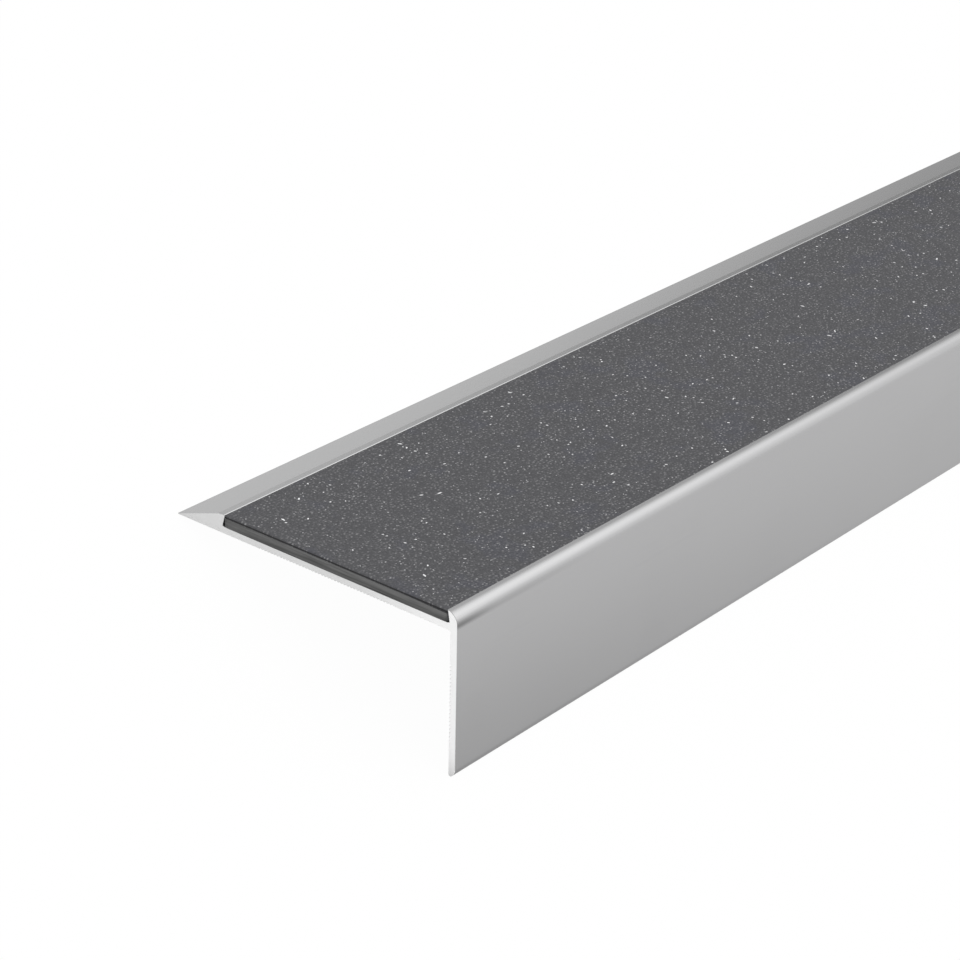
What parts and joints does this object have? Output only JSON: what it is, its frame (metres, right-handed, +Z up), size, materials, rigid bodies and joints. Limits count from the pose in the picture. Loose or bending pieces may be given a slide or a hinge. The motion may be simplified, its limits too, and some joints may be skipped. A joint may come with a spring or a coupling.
{
  "type": "stair nosing",
  "caption": "Extruded aluminium angle that caps a stair's edge, with a rounded nose, a ramped back, grooved glue faces and a speckled slip-resistant strip set in its tread.",
  "frame": {"origin": "centre of the bar's footprint, on the floor that it lies on", "axes": "+X along the bar, +Y from the riser leg towards the back tip, +Z up; the bar lies on its back tip and on the toe of its riser leg"},
  "size_m": [0.9, 0.0756, 0.0309],
  "materials": {
    "anodised_aluminium": "satin silver anodised, with bright sawn ends",
    "speckled_grip": "matt dark grey with pale flecks and grit"
  },
  "bodies": {
    "root": {"nosing_profile": "anodised_aluminium", "grip_insert": "speckled_grip"}
  },
  "joints": []
}
